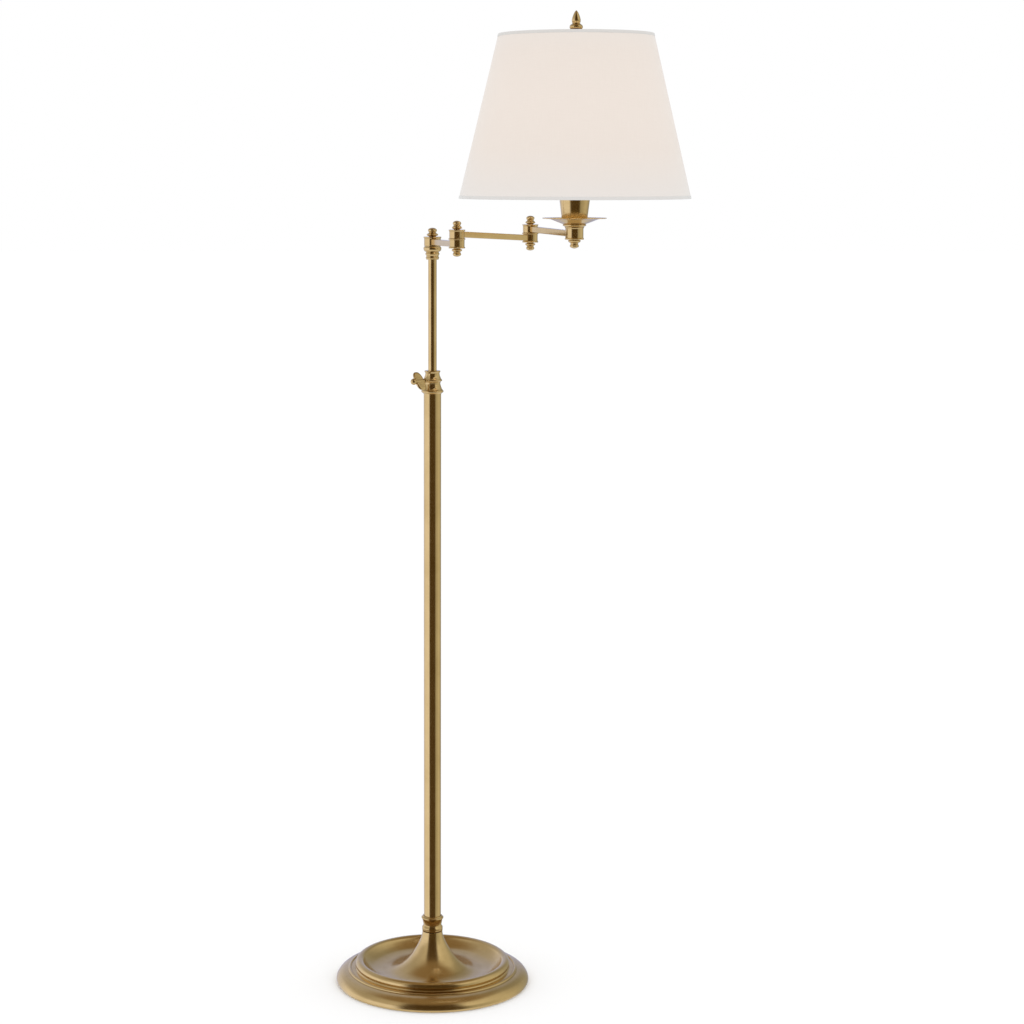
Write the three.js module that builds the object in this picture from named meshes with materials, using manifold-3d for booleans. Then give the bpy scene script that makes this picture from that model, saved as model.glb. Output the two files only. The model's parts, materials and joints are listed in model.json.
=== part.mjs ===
// Adjustable floor lamp with a telescopic post and three folding arms.
// Millimetres, +Z up. The origin is on the floor, at the centre of the round base.
// The post stands on the Z axis, and -Y is the lamp's front.

import * as THREE from 'three';
import { mergeVertices } from 'three/addons/utils/BufferGeometryUtils.js';
import Module from 'manifold-3d';

const wasm = await Module();
wasm.setup();

// ---------------------------------------------------------------- driving dimensions

const ARM_LENGTH = 152.4;            // pivot to pivot, the same for all three arms
const ARM_YAW = [-77.65, 47.9, -69.95];   // where each arm points at rest, degrees from +X
const BAR = 8;                       // outside width of the square arm tube
const BAR_BORE = 5.6;
const BAR_IN_KNUCKLE = 4.5;          // how far a bar's end goes into its knuckle
const FIT = 0.3;                     // clearance around a piece held by its neighbour

const BASE_R = 139.6;
const FELT_T = 2;
const BASE_COLLAR_Z = 74.8;          // underside of the turned collar on the base
const TUBE_SEAT_Z = 86.9;            // shoulder the lower tube stands on

const LOWER_TUBE_R = 12.3;
const LOWER_TUBE_BORE = 11.1;
const UPPER_TUBE_R = 6;
const UPPER_TUBE_BORE = 4.9;
const UPPER_TUBE_Z = [680, 1057];
const CLAMP_Z = 857.8;               // underside of the clamp collar
const SCREW_Z = 876.4;               // height of the thumbscrew's axis
const SCREW_YAW = 225;               // the thumbscrew points to the front left

const HEAD_Z = 1044.9;               // underside of the turned head on the upper tube
const SHOULDER_Z = 1064;             // underside of the first arm's knuckle
const KNUCKLE_H = 12.35;             // height of one knuckle of an elbow, with half its ring
const ELBOW_Z = [1077.8, 1082.1];    // middle of each elbow
const BAR_Z = [
  [1069.2, 1071.1],                  // each bar's height at its inner and outer pivot:
  [1084.1, 1075.8],                  // the second and third sag a little
  [1088, 1085.2],
];
const PIN_R = 3.2;
const PIN_BORE = 1.8;

const LAMP_KNUCKLE_Z = 1077.9;       // underside of the knuckle that carries the lamp holder
const NIPPLE_R = 5.1;                // threaded lamp pipe
const NIPPLE_BORE = 3.6;
const PLATE_Z = 1098.3;              // underside of the drip plate
const PLATE_R = 42.5;
const CUP_Z = [1099.7, 1142];
const CUP_R = [16.4, 21.4];
const SOCKET_R = 16;
const SOCKET_Z = 1118.3;             // where the socket's shell meets its cap
const DIMMER_Z = 1152;
const BULB_Z = 1228;                 // centre of the bulb's globe
const BULB_R = 30;

const SADDLE_Z = 1143.2;
const HARP_LEG_X = 29;
const HARP_WIRE_R = 1.6;
const HARP_TOP_Z = 1343.6;

const SHADE_Z = [1131.5, 1344.6];
const SHADE_R = [152.4, 101.2];
const SHADE_WALL = 1;
const RING_WIRE_R = 1.4;
const TOP_RING_Z = 1342;             // wire ring inside the shade's top edge
const HUB_Z = 1347.1;                // underside of the spider's hub
const FINIAL_Z = 1348.9;

const ROUND = 16;                    // sides of a turned piece
const ROUND_SMALL = 12;
const ROUND_LARGE = 36;              // sides of the base and the shade
const WIRE_SIDES = 6;

// ---------------------------------------------------------------- materials

const metal = (color, roughness) => ({ color, roughness, metalness: 1 });
const dull = (color, roughness) => ({ color, roughness, metalness: 0 });

const BRASS = metal(0xa98b55, 0.32);
const STEEL = metal(0x9a9a98, 0.45);
const IRON = metal(0x3b3a38, 0.75);
const FELT = dull(0x3a3026, 0.95);
const PHENOLIC = dull(0x2a211c, 0.5);
const NYLON = dull(0xe8e4d8, 0.6);
const GLASS = dull(0xf4f2ec, 0.25);
const LINEN = dull(0xf3ebe0, 0.9);

// ---------------------------------------------------------------- places

const radians = THREE.MathUtils.degToRad;

function along(yaw, distance) {
  return new THREE.Vector2(Math.cos(radians(yaw)), Math.sin(radians(yaw))).multiplyScalar(distance);
}

// The vertical pivot axes: shoulder, first elbow, second elbow and lamp holder.
const PIVOTS = [new THREE.Vector2(0, 0)];
for (const yaw of ARM_YAW) {
  PIVOTS.push(PIVOTS.at(-1).clone().add(along(yaw, ARM_LENGTH)));
}
const [SHOULDER, ELBOW_1, ELBOW_2, LAMP] = PIVOTS;

// ---------------------------------------------------------------- outlines

const at = (r, z) => new THREE.Vector2(r, z);

// Points on an arc about (r, z), with angles in degrees from the outward direction.
function arc(r, z, radius, from, to, steps) {
  const points = [];
  for (let i = 0; i <= steps; i += 1) {
    const angle = radians(from + ((to - from) * i) / steps);
    points.push(at(r + radius * Math.cos(angle), z + radius * Math.sin(angle)));
  }
  return points;
}

function smooth(points, steps) {
  return new THREE.SplineCurve(points).getPoints(steps);
}

// The same line, moved to its left by a wall's thickness.
function inset(points, wall) {
  return points.map((point, i) => {
    const before = points[Math.max(i - 1, 0)];
    const after = points[Math.min(i + 1, points.length - 1)];
    const run = after.clone().sub(before).normalize();
    return at(point.x - run.y * wall, point.y + run.x * wall);
  });
}

function mirrored(points, z) {
  return points.map((point) => at(point.x, 2 * z - point.y)).reverse();
}

// ---------------------------------------------------------------- solids

// One closed body: shared corners merged, and no triangle without an area.
function closed(geometry) {
  const bare = geometry.clone();
  bare.deleteAttribute('normal');
  bare.deleteAttribute('uv');
  const merged = mergeVertices(bare, 1e-4);
  const corners = merged.index.array;
  const kept = [];
  for (let i = 0; i < corners.length; i += 3) {
    const [a, b, c] = corners.slice(i, i + 3);
    if (a !== b && b !== c && c !== a) kept.push(a, b, c);
  }
  merged.setIndex(kept);
  return merged;
}

// Turns an outline about Z. It runs up the outside and down the bore, or starts and ends on the axis.
function turned(outline, sides = ROUND) {
  const open = outline[0].x > 0 && outline.at(-1).x > 0;
  const points = open ? [...outline, outline[0].clone()] : outline;
  return closed(new THREE.LatheGeometry(points, sides).rotateX(Math.PI / 2));
}

function pipe(outer, bore, low, high, sides = ROUND) {
  return turned([at(bore, low), at(outer, low), at(outer, high), at(bore, high)], sides);
}

function rod(radius, low, high, sides = ROUND) {
  return turned([at(0, low), at(radius, low), at(radius, high), at(0, high)], sides);
}

function circle(radius, sides) {
  const points = [];
  for (let i = 0; i < sides; i += 1) {
    points.push(along((360 * i) / sides, radius));
  }
  return new THREE.Shape(points);
}

function wire(points, radius, steps) {
  const curve = new THREE.CatmullRomCurve3(points, false, 'centripetal');
  const options = { extrudePath: curve, steps, bevelEnabled: false };
  return closed(new THREE.ExtrudeGeometry(circle(radius, WIRE_SIDES), options));
}

function block(x, y, z) {
  const size = [x[1] - x[0], y[1] - y[0], z[1] - z[0]];
  const middle = [(x[0] + x[1]) / 2, (y[0] + y[1]) / 2, (z[0] + z[1]) / 2];
  return closed(new THREE.BoxGeometry(...size).translate(...middle));
}

function toManifold(geometry) {
  const whole = geometry.index ? geometry : closed(geometry);
  return new wasm.Manifold(new wasm.Mesh({
    numProp: 3,
    vertProperties: new Float32Array(whole.attributes.position.array),
    triVerts: new Uint32Array(whole.index.array),
  }));
}

function fromManifold(solid) {
  const mesh = solid.getMesh();
  const geometry = new THREE.BufferGeometry();
  geometry.setAttribute('position', new THREE.BufferAttribute(new Float32Array(mesh.vertProperties), 3));
  geometry.setIndex(Array.from(mesh.triVerts));
  return geometry;
}

function join(first, ...others) {
  return fromManifold(others.reduce((whole, next) => whole.add(toManifold(next)), toManifold(first)));
}

function cut(first, ...others) {
  return fromManifold(others.reduce((whole, next) => whole.subtract(toManifold(next)), toManifold(first)));
}

// ---------------------------------------------------------------- the scene graph

const lamp = new THREE.Group();

function piece(name, geometry, look, axis = SHOULDER) {
  const mesh = new THREE.Mesh(geometry, new THREE.MeshStandardMaterial(look));
  mesh.name = name;
  mesh.position.set(axis.x, axis.y, 0);
  lamp.add(mesh);
  return mesh;
}

// ---------------------------------------------------------------- base

const GLAND_Z = 7.2;
const GLAND_HOLE_R = 4.4;

function baseShell() {
  const wall = 1.6;
  const beadAt = [105.2, 26.6];
  const rim = smooth([
    at(138.5, 0.6), at(BASE_R, 3.6), at(138.9, 7.8), at(135, 13.2), at(129.4, 16.7), at(123.2, 18.6),
  ], 6);
  const step = arc(119.9, 19.5, 2, 0, 160, 2);
  const bead = arc(...beadAt, 6.7, -35, 150, 6);
  const dish = smooth([
    at(97, 27.4), at(92.5, 23.6), at(86, 20), at(78, 17.9), at(70, 17), at(62, 17.3), at(55, 19.2),
    at(48, 22.4), at(40, 28.3), at(34, 34.4), at(28.2, 42), at(20.4, 55), at(16.6, 64), at(14.9, 70.5),
    at(14.5, 74.4),
  ], 12);
  const outside = [...rim, ...step, at(112, 21), ...bead, ...dish];
  const hollowBead = [at(111, 19.3), ...arc(...beadAt, 4.9, -35, 140, 3)];
  const inside = [...inset(rim, wall), ...hollowBead, ...inset(dish, wall)];
  const hole = rod(GLAND_HOLE_R, 100, 160, 16).rotateX(-Math.PI / 2).translate(0, 0, GLAND_Z);
  return cut(turned([...outside, ...inside.reverse()], ROUND_LARGE), hole);
}

function baseWeight() {
  const bore = NIPPLE_R + 0.5;
  const recess = 17.5;
  const body = turned([
    at(recess, 2.4), at(133.2, 2.4), at(135.4, 5.2), at(133, 9.8), at(127.6, 13), at(112, 15),
    at(92, 14.4), at(40, 14.4), at(30, 27), at(bore, 27), at(bore, 10.2), at(recess, 10.2),
  ], ROUND_LARGE);
  const cordChannel = block([-4.6, 4.6], [8, 150], [1, 11.6]);
  return cut(body, cordChannel);
}

function cordGland() {
  const seat = BASE_R + 0.3;
  const bush = turned([
    at(2.6, 118), at(3.9, 118), at(3.9, seat), at(6, seat), at(6, seat + 1), at(5.2, seat + 1.8),
    at(2.6, seat + 1.8),
  ], 16);
  return bush.rotateX(-Math.PI / 2).translate(0, 0, GLAND_Z);
}

function baseCollar() {
  return turned([
    at(5.5, BASE_COLLAR_Z), at(13.2, BASE_COLLAR_Z), at(14.9, 75.8), at(15, 80.2), at(14.2, 81.7),
    at(13.1, 83.3), at(13.3, 85.6), at(14.6, 88.4), at(14.8, 91.7),
    ...arc(14.3, 94.4, 1.7, -60, 75, 3),
    at(13.6, 97.6), at(12.65, 97.8), at(12.65, TUBE_SEAT_Z), at(5.5, TUBE_SEAT_Z),
  ]);
}

function hexNut(flats, bore, low, high) {
  return cut(rod(flats / Math.sqrt(3), low, high, 6), rod(bore, low - 1, high + 1));
}

piece('felt_pad', rod(130, 0, FELT_T, ROUND_LARGE), FELT);
piece('base_weight', baseWeight(), IRON);
piece('base_shell', baseShell(), BRASS);
piece('cord_gland', cordGland(), PHENOLIC);
piece('base_washer', pipe(15, 5.5, 8.4, 9.9), STEEL);
piece('base_nut', hexNut(19, 5.5, 2.9, 8.1), STEEL);
piece('base_nipple', pipe(NIPPLE_R, NIPPLE_BORE, 2.8, 96), STEEL);
piece('base_collar', baseCollar(), BRASS);

// ---------------------------------------------------------------- post

function clampCollar() {
  const seat = CLAMP_Z + 5.8;
  const body = turned([
    at(12.65, CLAMP_Z), at(13.4, CLAMP_Z),
    ...arc(14, CLAMP_Z + 3, 1.75, -65, 55, 2),
    at(13.3, 864.4), at(12.4, 867), at(11.1, 871.2), at(11.6, 873.8),
    ...arc(12.4, SCREW_Z, 1.35, -65, 65, 2),
    at(11.9, 879.2), at(10.4, 883.2), at(10, 886.4), at(11.2, 888.4), at(11.3, 889.3), at(10.7, 889.9),
    at(7, 889.9), at(6.35, 889.2), at(6.35, seat), at(12.65, seat),
  ]);
  const screwHole = rod(2.3, 4, 20, 12);
  return cut(body, aimScrew(screwHole));
}

// Turns a piece built along +Z from the post's axis into the thumbscrew's direction.
function aimScrew(geometry) {
  return geometry.rotateY(Math.PI / 2).rotateZ(radians(SCREW_YAW)).translate(0, 0, SCREW_Z);
}

// An oval with fuller shoulders than an ellipse.
function fullOval(halfWidth, halfLength) {
  const sides = 28;
  const swell = (value) => Math.sign(value) * Math.abs(value) ** 0.8;
  const points = [];
  for (let i = 0; i < sides; i += 1) {
    const angle = (2 * Math.PI * (i + 0.5)) / sides;
    points.push(at(halfWidth * swell(Math.cos(angle)), halfLength * swell(Math.sin(angle))));
  }
  return new THREE.Shape(points);
}

function thumbscrew() {
  const paddle = { middle: 25.6, halfLength: 8.3, halfWidth: 14.6, thickness: 4, lean: 34 };
  const stem = turned([
    at(0, 6.6), at(2, 6.6), at(2, 14.3), at(3.4, 14.6), at(3.4, 16.2), at(2.3, 17.4), at(2.3, 32.4),
    ...arc(0, 36.8, 4.5, -60, 90, 5),
  ], ROUND_SMALL);
  const bevel = 0.7;
  const plate = new THREE.ExtrudeGeometry(fullOval(paddle.halfWidth - bevel, paddle.halfLength - bevel), {
    depth: paddle.thickness - 2 * bevel, bevelSize: bevel, bevelThickness: bevel, bevelSegments: 1,
  });
  plate.translate(0, 0, bevel - paddle.thickness / 2).rotateX(Math.PI / 2).translate(0, 0, paddle.middle);
  const whole = join(stem, closed(plate));
  return aimScrew(whole.rotateZ(radians(paddle.lean)));
}

function postHead() {
  return turned([
    at(6.35, HEAD_Z), at(8.6, HEAD_Z),
    ...arc(8.2, HEAD_Z + 2.5, 1.3, -60, 60, 2),
    at(8.5, 1050),
    ...arc(8.6, 1052.8, 1.4, -55, 55, 2),
    at(8.9, 1055.4), at(10.8, 1056.4), at(12, 1058), at(12.5, 1060), at(12.3, 1061.7), at(11.5, 1062.9),
    at(3.7, 1062.9), at(3.7, UPPER_TUBE_Z[1] + 0.3), at(6.35, UPPER_TUBE_Z[1] + 0.3),
  ]);
}

piece('tube_plug', pipe(10.8, 5.5, 87.4, 99), BRASS);
piece('lower_tube', pipe(LOWER_TUBE_R, LOWER_TUBE_BORE, TUBE_SEAT_Z + FIT, CLAMP_Z + 5.5), BRASS);
piece('clamp_collar', clampCollar(), BRASS);
piece('thumbscrew', thumbscrew(), BRASS);
piece('stop_bushing', pipe(10.8, UPPER_TUBE_R + FIT, 682, 700), NYLON);
piece('upper_tube', pipe(UPPER_TUBE_R, UPPER_TUBE_BORE, ...UPPER_TUBE_Z), BRASS);
piece('post_head', postHead(), BRASS);

// ---------------------------------------------------------------- arms

// A turned knob over the end of a pivot pin: a bead, a neck and a domed button.
function knobOutline(z, { bead, neck, button, height }) {
  const level = (share) => z + share * height;
  const bore = PIN_R + FIT;
  const depth = level(0.32);
  const dome = arc(0, 0, 1, -25, 72, 4).map((point) => at(button * point.x, level(0.7 + 0.3 * point.y)));
  return [
    at(0, depth), at(bore, depth), at(bore, z), at(0.64 * bead, z), at(0.67 * bead, z + 0.7),
    ...arc(bead - 1.2, level(0.2), 1.2, -60, 50, 2),
    at(neck + 0.4, level(0.4)), at(neck, level(0.47)),
    ...dome, at(0, z + height),
  ];
}

function flangedKnuckle(z, radius, flange) {
  return [
    at(PIN_R + 0.4, z), at(flange - 0.2, z), at(flange, z + 0.6), at(flange - 0.1, z + 1.2),
    at(radius, z + 2.2), at(radius, z + KNUCKLE_H - 1.2), at(radius - 0.2, z + KNUCKLE_H - 1),
    at(PIN_R + 0.4, z + KNUCKLE_H - 1),
  ];
}

function barPlace(index) {
  const [start, end] = BAR_Z[index];
  return { yaw: ARM_YAW[index], drop: Math.atan2(start - end, ARM_LENGTH), start, end };
}

// Lays a piece built along +X, with its start on the inner pivot's axis, in the direction of a bar.
function layAlongBar(geometry, index) {
  const { yaw, drop, start } = barPlace(index);
  return geometry.rotateY(drop).rotateZ(radians(yaw)).translate(0, 0, start);
}

function square(width) {
  const half = width / 2;
  const corner = width / 14;
  return [
    at(half, -half + corner), at(half, half - corner), at(half - corner, half), at(-half + corner, half),
    at(-half, half - corner), at(-half, -half + corner), at(-half + corner, -half), at(half - corner, -half),
  ];
}

function armBar(index, innerRadius, outerRadius) {
  const { drop } = barPlace(index);
  const start = innerRadius - BAR_IN_KNUCKLE;
  const end = ARM_LENGTH / Math.cos(drop) - outerRadius + BAR_IN_KNUCKLE;
  const section = new THREE.Shape(square(BAR));
  section.holes.push(new THREE.Path(square(BAR_BORE).reverse()));
  const tube = new THREE.ExtrudeGeometry(section, { depth: end - start, bevelEnabled: false });
  return layAlongBar(closed(tube.rotateY(Math.PI / 2).translate(start, 0, 0)), index);
}

// The square pockets that take a bar's two ends.
function pocket(index, radius, atOuterEnd) {
  const half = BAR / 2 + FIT;
  const reach = radius - BAR_IN_KNUCKLE - FIT;
  if (!atOuterEnd) {
    return layAlongBar(block([reach, radius + 6], [-half, half], [-half, half]), index);
  }
  const length = ARM_LENGTH / Math.cos(barPlace(index).drop);
  const tool = block([length - radius - 6, length - reach], [-half, half], [-half, half]);
  const back = along(ARM_YAW[index], -ARM_LENGTH);
  return layAlongBar(tool, index).translate(back.x, back.y, 0);
}

const SHOULDER_R = 11.6;
const KNUCKLE_R = 10.2;
const FLANGE_R = 11.1;
const LAMP_KNUCKLE_R = 11.9;

function shoulderKnuckle() {
  const top = SHOULDER_Z + 12.6;
  const body = turned([
    at(PIN_R + 0.4, SHOULDER_Z), at(SHOULDER_R - 0.2, SHOULDER_Z), at(SHOULDER_R, SHOULDER_Z + 0.3),
    at(SHOULDER_R, top - 2.4), at(12.3, top - 1.7), at(12.5, top - 0.9), at(12.3, top), at(PIN_R + 0.4, top),
  ]);
  return cut(body, pocket(0, SHOULDER_R, false));
}

function lampKnuckle() {
  const low = LAMP_KNUCKLE_Z;
  const body = turned([
    at(5.4, low), at(12.2, low), at(12.7, low + 0.7), at(12.6, low + 1.4), at(LAMP_KNUCKLE_R, low + 2.3),
    at(LAMP_KNUCKLE_R, 1092.2), at(12.6, 1093.1), at(12.8, 1094), at(12.5, 1094.6), at(5.4, 1094.6),
  ]);
  return cut(body, pocket(2, LAMP_KNUCKLE_R, true));
}

piece('shoulder_washer', pipe(11.2, 3.8, 1063.1, 1063.8), BRASS);
piece('shoulder_pin', pipe(PIN_R, PIN_BORE, UPPER_TUBE_Z[1] + 0.4, 1080.3), STEEL);
const SHOULDER_KNOB = { bead: 8, neck: 5, button: 6.3, height: 12.2 };
piece('shoulder_knob', turned(knobOutline(1076.8, SHOULDER_KNOB), ROUND_SMALL), BRASS);
piece('arm_1_inner_knuckle', shoulderKnuckle(), BRASS);

function elbow(number, axis, z) {
  const bottom = flangedKnuckle(z - KNUCKLE_H, KNUCKLE_R, FLANGE_R);
  const top = mirrored(bottom, z);
  const end = z + KNUCKLE_H + 0.2;
  const knob = { bead: 6.8, neck: 4.5, button: 5.7, height: 11.7 };
  const lowerKnob = { bead: 7, neck: 4.6, button: 5.7, height: 10.9 };
  const inner = pocket(number, KNUCKLE_R, false);
  const outer = pocket(number - 1, KNUCKLE_R, true);
  piece(`arm_${number}_outer_knuckle`, cut(turned(bottom), outer), BRASS, axis);
  piece(`arm_${number + 1}_inner_knuckle`, cut(turned(top), inner), BRASS, axis);
  piece(`elbow_${number}_ring`, turned([
    at(PIN_R + 0.4, z - 0.8), at(10.9, z - 0.8), at(11.4, z), at(10.9, z + 0.8), at(PIN_R + 0.4, z + 0.8),
  ]), BRASS, axis);
  piece(`elbow_${number}_pin`, pipe(PIN_R, PIN_BORE, z - KNUCKLE_H - 3.2, z + KNUCKLE_H + 3.2), STEEL, axis);
  piece(`elbow_${number}_top_knob`, turned(knobOutline(end, knob), ROUND_SMALL), BRASS, axis);
  const hanging = mirrored(knobOutline(end, lowerKnob), z);
  piece(`elbow_${number}_bottom_knob`, turned(hanging, ROUND_SMALL), BRASS, axis);
}

elbow(1, ELBOW_1, ELBOW_Z[0]);
elbow(2, ELBOW_2, ELBOW_Z[1]);

piece('arm_1_bar', armBar(0, SHOULDER_R, KNUCKLE_R), BRASS, SHOULDER);
piece('arm_2_bar', armBar(1, KNUCKLE_R, KNUCKLE_R), BRASS, ELBOW_1);
piece('arm_3_bar', armBar(2, KNUCKLE_R, LAMP_KNUCKLE_R), BRASS, ELBOW_2);

// ---------------------------------------------------------------- lamp holder

function lampKnob() {
  return turned([
    at(0, 1066), at(2.2, 1066.5),
    ...arc(3.6, 1069.6, 2.4, -50, 55, 3),
    at(5.2, 1072.6), at(5.4, 1073.4), at(7.7, 1074.7), at(8.4, 1076.2), at(8.1, 1077.2), at(6.4, 1077.6),
    at(3.3, 1077.6), at(3.3, 1086), at(0, 1086),
  ]);
}

function dripPlate() {
  const underside = smooth([
    at(15.2, PLATE_Z), at(20, 1100), at(26, 1102.4), at(31, 1104.3), at(35.5, 1105.1),
    at(PLATE_R - 0.5, 1105.4),
  ], 8);
  const wall = 1.1;
  return turned([
    at(5.4, PLATE_Z), ...underside, at(PLATE_R, 1106), ...inset(underside, wall).reverse(),
    at(5.4, PLATE_Z + wall),
  ], 24);
}

function socketCup() {
  const [low, high] = CUP_Z;
  const [bottom, top] = CUP_R;
  const wall = 0.95;
  return turned([
    at(5.4, low), at(bottom - 0.8, low), at(bottom, low + 0.7), at(top, high), at(top - wall, high),
    at(bottom - wall, low + 1.2), at(5.4, low + 1.2),
  ]);
}

// Everything on the side of the socket lies along +Y from the lamp's axis.
function sideHole(radius, from, to) {
  return rod(radius, from, to, 12).rotateX(-Math.PI / 2).translate(0, 0, DIMMER_Z);
}

function dimmerKnob() {
  const knob = turned([
    at(0, 7), at(1.8, 7), at(1.8, 20.6), at(3.6, 20.8), at(4.8, 22.2), at(4.8, 31.4), at(4.2, 32.4),
    at(0, 32.8),
  ], 16);
  return knob.rotateX(-Math.PI / 2).translate(0, 0, DIMMER_Z);
}

function bulbGlass() {
  const wall = 1;
  const neck = smooth([at(13.2, 1182.6), at(14.2, 1187), at(18.6, 1198), at(25.2, 1210.5)], 3);
  const outside = [...neck, ...arc(0, BULB_Z, BULB_R, -24, 90, 5)];
  const innerNeck = neck.map((point) => at(point.x - wall, point.y));
  const inside = [...innerNeck, ...arc(0, BULB_Z, BULB_R - wall, -24, 90, 5)];
  return turned([...inside.reverse(), ...outside], ROUND_SMALL);
}

piece('head_knuckle', lampKnuckle(), BRASS, LAMP);
piece('head_nipple', pipe(NIPPLE_R, NIPPLE_BORE, LAMP_KNUCKLE_Z + FIT, 1106.4), STEEL, LAMP);
piece('head_bottom_knob', lampKnob(), BRASS, LAMP);
piece('cup_seat', turned([
  at(5.4, 1094.8), at(13.1, 1094.8), at(15.4, 1096.3), at(15.6, 1097.3), at(14.9, 1098.1), at(5.4, 1098.1),
]), BRASS, LAMP);
piece('drip_plate', dripPlate(), BRASS, LAMP);
piece('socket_cup', socketCup(), BRASS, LAMP);
piece('socket_cap', turned([
  at(5.4, 1101.1), at(9, 1101.1), at(14.4, 1104.6), at(15.2, 1108), at(15.3, SOCKET_Z - FIT),
  at(14.5, SOCKET_Z - FIT), at(14.4, 1108.5), at(8.6, 1102.1), at(5.4, 1102.1),
]), BRASS, LAMP);
const socketShell = pipe(SOCKET_R, SOCKET_R - 0.7, SOCKET_Z, 1179);
piece('socket_shell', cut(socketShell, sideHole(2.3, 10, 20)), BRASS, LAMP);
piece('socket_core', cut(turned([
  at(0, 1107), at(12, 1107), at(13.9, 1109.6), at(13.9, 1158), at(0, 1158),
]), sideHole(2.1, 6, 20)), PHENOLIC, LAMP);
piece('screw_shell', pipe(14.2, 13.5, 1158.4, 1178.5), STEEL, LAMP);
piece('bulb_cap', turned([
  at(0, 1159), at(4.6, 1159), at(12.9, 1163), at(12.9, 1180), at(13.2, 1182.2), at(0, 1182.2),
]), STEEL, LAMP);
piece('bulb_glass', bulbGlass(), GLASS, LAMP);
piece('dimmer_knob', dimmerKnob(), PHENOLIC, LAMP);

// ---------------------------------------------------------------- harp and shade

function harpSaddle() {
  const top = SADDLE_Z + 2;
  let saddle = pipe(20, SOCKET_R + FIT, SADDLE_Z, top);
  for (const side of [-1, 1]) {
    const span = (a, b) => [side * a, side * b].sort((first, second) => first - second);
    saddle = join(saddle, block(span(18.5, 31), [-5, 5], [SADDLE_Z, top]));
    saddle = join(saddle, block(span(HARP_LEG_X - 0.8, HARP_LEG_X + 0.8), [-3.4, 3.4], [top - 1, top + 7]));
  }
  return saddle;
}

function harp() {
  const legs = [
    [HARP_LEG_X, 1152.8], [29.6, 1166], [42, 1188], [54, 1217], [56, 1248], [50, 1284], [34, 1318],
    [16, 1337.6],
  ];
  const right = legs.map(([x, z]) => new THREE.Vector3(x, 0, z));
  const left = legs.map(([x, z]) => new THREE.Vector3(-x, 0, z)).reverse();
  const loop = wire([...right, new THREE.Vector3(0, 0, HARP_TOP_Z), ...left], HARP_WIRE_R, 30);
  const stud = turned([
    at(0, 1341.4), at(6, 1341.4), at(6, 1346.8), at(3.2, 1346.8), at(3.2, 1353.2), at(0, 1353.2),
  ], 12);
  return join(loop, stud);
}

// The cone of the shade: its outer radius at a height.
function shadeRadius(z) {
  const share = (z - SHADE_Z[0]) / (SHADE_Z[1] - SHADE_Z[0]);
  return SHADE_R[0] + (SHADE_R[1] - SHADE_R[0]) * share;
}

// A wire ring that lies just inside the shade.
function shadeRing(z) {
  const radius = shadeRadius(z) - SHADE_WALL - RING_WIRE_R - 0.7;
  return { radius, solid: turned(arc(radius, z, RING_WIRE_R, -180, 120, 5), ROUND_LARGE) };
}

// The hub and three spokes that hang the top ring on the harp's stud.
function shadeSpider(ringRadius) {
  const reach = ringRadius - RING_WIRE_R - FIT;
  let spider = pipe(12, 3.6, HUB_Z, HUB_Z + 1.5);
  for (const yaw of [90, 210, 330]) {
    const inner = along(yaw, 10);
    const outer = along(yaw, reach);
    spider = join(spider, wire([
      new THREE.Vector3(inner.x, inner.y, HUB_Z + 0.7),
      new THREE.Vector3(outer.x, outer.y, TOP_RING_Z),
    ], 1.2, 1));
  }
  return spider;
}

function shade() {
  const [low, high] = SHADE_Z;
  const [wide, narrow] = SHADE_R;
  return turned([
    at(wide - SHADE_WALL, low), at(wide, low), at(narrow, high), at(narrow - SHADE_WALL, high),
  ], ROUND_LARGE);
}

function finial() {
  return turned([
    at(0, 1353.7), at(3.5, 1353.7), at(3.5, FINIAL_Z), at(5.6, FINIAL_Z),
    ...arc(5, 1352.8, 3.7, -62, 62, 4),
    at(5.2, 1357.2), at(5.1, 1357.9), at(5.6, 1359.4), at(5.8, 1361.4), at(5.2, 1364.6), at(3.9, 1368.4),
    at(2.1, 1372), at(0, 1374.3),
  ]);
}

piece('harp_saddle', harpSaddle(), STEEL, LAMP);
piece('harp', harp(), BRASS, LAMP);
for (const [name, side] of [['harp_sleeve_left', -1], ['harp_sleeve_right', 1]]) {
  const sleeve = pipe(5, 4.2, SADDLE_Z + 2.4, 1160, 16).translate(side * HARP_LEG_X, 0, 0);
  piece(name, sleeve, BRASS, LAMP);
}
const topRing = shadeRing(TOP_RING_Z);
piece('shade_top_ring', topRing.solid, BRASS, LAMP);
piece('shade_spider', shadeSpider(topRing.radius), BRASS, LAMP);
piece('shade_hoop', shadeRing(SHADE_Z[0] + 2.8).solid, STEEL, LAMP);
piece('shade', shade(), LINEN, LAMP);
piece('finial', finial(), BRASS, LAMP);

export default lamp;
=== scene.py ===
"""Looks of the adjustable floor lamp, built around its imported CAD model.

Metres, +Z up, in the CAD model's own frame. Outlines are written in millimetres.
"""

import json
import math

import bmesh
import bpy
from mathutils import Matrix, Vector


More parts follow.
